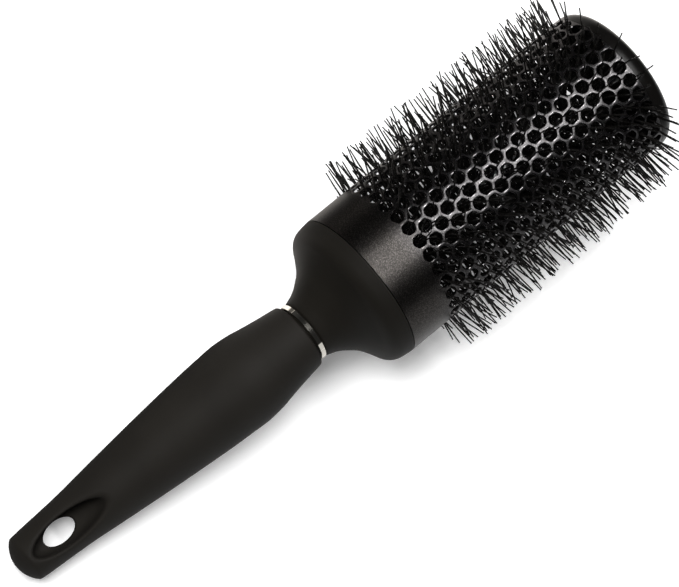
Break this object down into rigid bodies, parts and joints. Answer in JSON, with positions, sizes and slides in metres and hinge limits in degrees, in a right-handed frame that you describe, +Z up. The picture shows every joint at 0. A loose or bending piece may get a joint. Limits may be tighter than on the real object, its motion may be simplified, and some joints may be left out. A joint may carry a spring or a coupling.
{
  "type": "round barrel brush",
  "caption": "Round thermal hair brush: tapered soft-grip handle with hang hole, vented metal barrel, radial bristles and domed end cap.",
  "frame": {"origin": "centre of the hang hole, on the brush axis", "axes": "+X horizontally from the tail towards the end cap, +Z up, with the brush lying on a flat surface on its tail and its first bristle row; the brush axis climbs towards the cap in the XZ plane"},
  "size_m": [0.2652, 0.077, 0.0907],
  "materials": {
    "soft_grip": "matte soft-touch",
    "core_plastic": "moulded",
    "ring_chrome": "polished",
    "shoulder_soft": "matte soft-touch",
    "barrel_black": "satin with a fine sparkle",
    "cap_black": "satin",
    "stem_steel": "drawn wire",
    "bristle_nylon": "glossy nylon"
  },
  "bodies": {
    "root": {"handle_core": "core_plastic", "handle_grip": "soft_grip", "neck_ring": "ring_chrome", "shoulder": "shoulder_soft", "barrel": "barrel_black", "end_cap": "cap_black", "core_stem": "stem_steel", "bristle_row_01": "bristle_nylon", "bristle_row_02": "bristle_nylon", "bristle_row_03": "bristle_nylon", "bristle_row_04": "bristle_nylon", "bristle_row_05": "bristle_nylon", "bristle_row_06": "bristle_nylon", "bristle_row_07": "bristle_nylon", "bristle_row_08": "bristle_nylon", "bristle_row_09": "bristle_nylon", "bristle_row_10": "bristle_nylon", "bristle_row_11": "bristle_nylon", "bristle_row_12": "bristle_nylon", "bristle_row_13": "bristle_nylon"}
  },
  "joints": []
}
